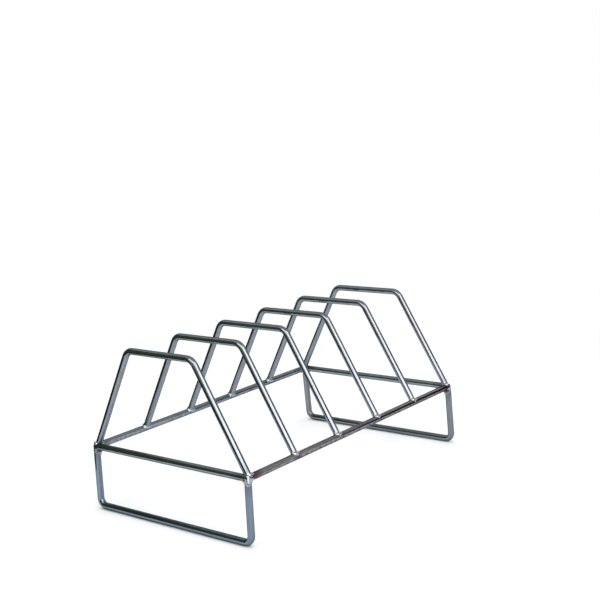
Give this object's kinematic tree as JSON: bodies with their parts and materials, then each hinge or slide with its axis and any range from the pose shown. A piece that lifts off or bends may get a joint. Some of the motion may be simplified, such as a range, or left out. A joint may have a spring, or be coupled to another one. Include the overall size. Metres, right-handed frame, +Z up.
{
  "type": "wire plate rack",
  "caption": "Low rectangular wire frame on two leg loops, with upright trapezoid wire hoops that hold plates on edge.",
  "frame": {"origin": "on the table under the middle of the rack, at the bottom centre of its bounding box", "axes": "+X along the rails from the front crossbar to the rear one, +Y across the rack to the left rail, +Z up from the table"},
  "size_m": [0.2434, 0.1498, 0.1218],
  "materials": {
    "wire": "bright chrome plate over drawn steel wire",
    "weld": "bright chrome plate over uneven weld metal"
  },
  "bodies": {
    "root": {"left_rail": "wire", "right_rail": "wire", "front_crossbar": "wire", "rear_crossbar": "wire", "front_leg_loop": "wire", "rear_leg_loop": "wire", "hoop_1": "wire", "hoop_2": "wire", "hoop_3": "wire", "hoop_4": "wire", "hoop_5": "wire", "hoop_6": "wire", "hoop_1_welds": "weld", "hoop_2_welds": "weld", "hoop_3_welds": "weld", "hoop_4_welds": "weld", "hoop_5_welds": "weld", "hoop_6_welds": "weld", "front_corner_welds": "weld", "rear_corner_welds": "weld"}
  },
  "joints": []
}
